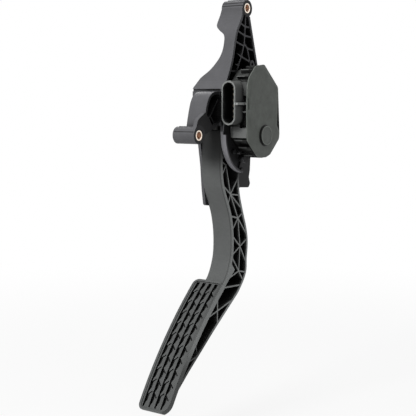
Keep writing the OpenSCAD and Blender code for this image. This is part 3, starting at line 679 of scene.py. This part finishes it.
def wound_spring(node, outside, wire, hand, material):
    """A compression spring between the cup and the heel, wound from one round wire."""
    mean_radius = (outside - wire) / 2
    foot = spring_foot + wire / 2
    height = spring_top - spring_foot - wire
    bpy.ops.object.select_all(action="DESELECT")
    bpy.ops.mesh.primitive_circle_add(
        vertices=wire_sides,
        radius=wire / 2,
        location=(mean_radius, 0.0, foot),
        rotation=(math.radians(90.0), 0.0, 0.0),
    )
    piece = bpy.context.active_object
    piece.name = node + "_wound"
    bpy.ops.object.transform_apply(location=True, rotation=True, scale=True)
    screw = piece.modifiers.new("winding", "SCREW")
    screw.angle = math.tau * hand
    screw.screw_offset = height / spring_turns
    screw.iterations = spring_turns
    screw.steps = steps_a_turn
    screw.render_steps = steps_a_turn
    bpy.ops.object.modifier_apply(modifier="winding")
    piece.location = (*spring_axis, 0.0)
    bpy.ops.object.transform_apply(location=True, rotation=True, scale=True)
    bpy.ops.object.mode_set(mode="EDIT")
    bpy.ops.mesh.select_all(action="SELECT")
    bpy.ops.mesh.remove_doubles(threshold=same_point)
    bpy.ops.mesh.fill_holes(sides=wire_sides)
    bpy.ops.mesh.select_all(action="SELECT")
    bpy.ops.mesh.normals_make_consistent(inside=False)
    bpy.ops.object.mode_set(mode="OBJECT")
    bpy.ops.object.shade_smooth_by_angle(angle=wire_turn)
    piece.data.materials.append(material)
    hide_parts(node)
    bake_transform(piece)


along_spring = (1.0, 1.0, 0.4)
spring_wire = stamped_metal("spring_wire", (0.44, 0.45, 0.46), (0.3, 0.3, 0.3), 0.32, along_spring)
wound_spring("outer_spring", outside=0.019, wire=0.002, hand=1.0, material=spring_wire)
wound_spring("inner_spring", outside=0.0126, wire=0.0015, hand=-1.0, material=spring_wire)
seat_plastic = soft_plastic("seat_plastic", (0.16, 0.17, 0.18), (0.2, 0.21, 0.22), 0.45)
moulded("spring_seat", "seat_moulding", nylon_edge, seat_plastic)


# A curved shoe rubs on the lever's drum and gives the pedal its steady feel. It is moulded in brown
# plastic filled for friction, and ribs in the chamber hold it.
shoe_plastic = soft_plastic("shoe_plastic", (0.2, 0.15, 0.1), (0.32, 0.26, 0.17), 0.6, 900.0)
moulded("friction_shoe", "shoe_moulding", nylon_edge, shoe_plastic)


# A lip seal keeps dirt from the sensor where the shaft enters it, and a red-brown gasket lies in the
# groove under the cover.
seal_edge = 0.0002
moulded("shaft_seal", "lip_seal", seal_edge, stop_rubber)
gasket_rubber = soft_plastic("gasket_rubber", (0.26, 0.07, 0.045), (0.33, 0.11, 0.07), 0.62, 1200.0, 0.3)
moulded("cover_seal", "cover_gasket", seal_edge, gasket_rubber)


# Four cross-slotted steel screws hold the sensor's body to the cheek. They are zinc plated, like the
# snap ring.
moulded("sensor_screws", "screws_plated", plated_edge, plated_steel)


# The glass-epoxy board under green solder mask carries two sensing chips and a larger one, all in
# black moulded epoxy.
thread_rate = 5200.0
track_rate = 2100.0
track_slant = 0.25
board_edge = 0.0001
chip_edge = 0.00012


def board_mask(name, green, weave_green, copper):
    """Solder mask over a glass weave, with the copper tracks showing through faintly.

    Both rates are in radians a metre.
    """
    material, start, place = new_material(name)
    warp = (reach_along(place, up) * thread_rate).wave()
    weft = (reach_along(place, back) * thread_rate).wave()
    weave = warp * weft * 0.5 + 0.5
    bends = noise(place, 90.0, 0.0).ramp(0.45, 0.55) * 6.0
    track = (reach_along(place, (0.0, track_slant, 1.0)) * track_rate + bends).wave()
    track = track.ramp(0.55, 0.75)
    colour = mix_colour(track * 0.5, mix_colour(weave, green, weave_green), copper)
    finish_surface(start, colour, 0.26 + weave * 0.1, bumped(start, track + weave * 0.2, 0.00003))
    return material


green_mask = board_mask("green_mask", (0.02, 0.13, 0.05), (0.03, 0.17, 0.07), (0.08, 0.25, 0.1))
moulded("circuit_board", "board_laminate", board_edge, green_mask)
chip_epoxy = soft_plastic("chip_epoxy", (0.02, 0.02, 0.021), (0.045, 0.045, 0.045), 0.55, 1500.0)
moulded("sensor_chips", "chips_moulded", chip_edge, chip_epoxy)


# The rotor is a plastic disc pressed on the shaft's end. It carries a pressed ring magnet of dark,
# slightly sparkling ferrite past the chips.
magnet_edge = 0.0002
moulded("sensor_rotor", "rotor_moulding", nylon_edge, seat_plastic, body="pedal")
ferrite = soft_plastic("ferrite", (0.085, 0.085, 0.09), (0.2, 0.2, 0.21), 0.42, 1800.0)
moulded("rotor_magnet", "magnet_pressed", magnet_edge, ferrite, body="pedal")


# The studio: a pale floor of plain paper under the hanging pedal, four soft square lamps turned to the
# pedal's middle, and a dim even room that shows as white behind everything.
floor_drop = 0.03
floor_radius = 6.0
floor_grey = (0.6, 0.6, 0.6, 1.0)
white = (1.0, 1.0, 1.0, 1.0)
near_white = 0.85
white_from = 0.3
white_to = 1.0
room_light = 0.1
lamp_aim = Vector((0.0, -0.03, -0.15))


def softbox(name, place, side, power):
    """A square soft lamp, turned to the pedal's middle."""
    lamp = bpy.data.lights.new(name, "AREA")
    lamp.size = side
    lamp.energy = power
    holder = bpy.data.objects.new(name, lamp)
    bpy.context.scene.collection.objects.link(holder)
    holder.location = place
    holder.rotation_euler = (lamp_aim - Vector(place)).to_track_quat("-Z", "Y").to_euler()


def background_ray(start):
    """1 for what the camera sees, straight, in a gloss or through clear stuff, and 0 for other light."""
    camera_ray = start.node("LightPath", out="Is Camera Ray")
    glossy_ray = start.node("LightPath", out="Is Glossy Ray")
    return camera_ray.most(glossy_ray.most(start.node("LightPath", out="Is Transmission Ray")))


middle = (cad_box[0] + cad_box[1]) / 2
bpy.ops.object.select_all(action="DESELECT")
bpy.ops.mesh.primitive_circle_add(
    vertices=96,
    radius=floor_radius,
    fill_type="NGON",
    location=(middle.x, middle.y, cad_box[0].z - floor_drop),
)
floor = bpy.context.active_object
floor.name = "floor"
paper, start, place = new_material("paper")
sheet = start.node("BsdfDiffuse", sockets={"Color": floor_grey})
glow = start.node("Emission", sockets={"Color": white, "Strength": 1.0})
distance = start.node("VectorMath", {"operation": "LENGTH"}, {0: place}, out=1)
far = distance.ramp(white_from, white_to)
whiteness = background_ray(start) * (far * (1.0 - near_white) + near_white)
shown = start.node("MixShader", sockets={0: whiteness, 1: sheet, 2: glow})
start.node("OutputMaterial", sockets={"Surface": shown})
floor.data.materials.append(paper)

softbox("key", (-0.25, -1.9, 0.95), side=0.8, power=43.0)
softbox("top", (-0.1, 0.0, 1.9), side=1.2, power=20.0)
softbox("right", (1.0, -0.5, 1.5), side=0.8, power=6.6)
softbox("back", (-1.3, 1.5, 1.0), side=1.0, power=18.0)

world = bpy.data.worlds.new("studio")
bpy.context.scene.world = world
world.use_nodes = True
world.node_tree.nodes.clear()
sky = Shade(world.node_tree)
strength = background_ray(sky) * (1.0 - room_light) + room_light
backdrop = sky.node("Background", sockets={"Color": white, "Strength": strength})
sky.node("OutputWorld", sockets={"Surface": backdrop})

bpy.context.scene.view_settings.view_transform = "Standard"
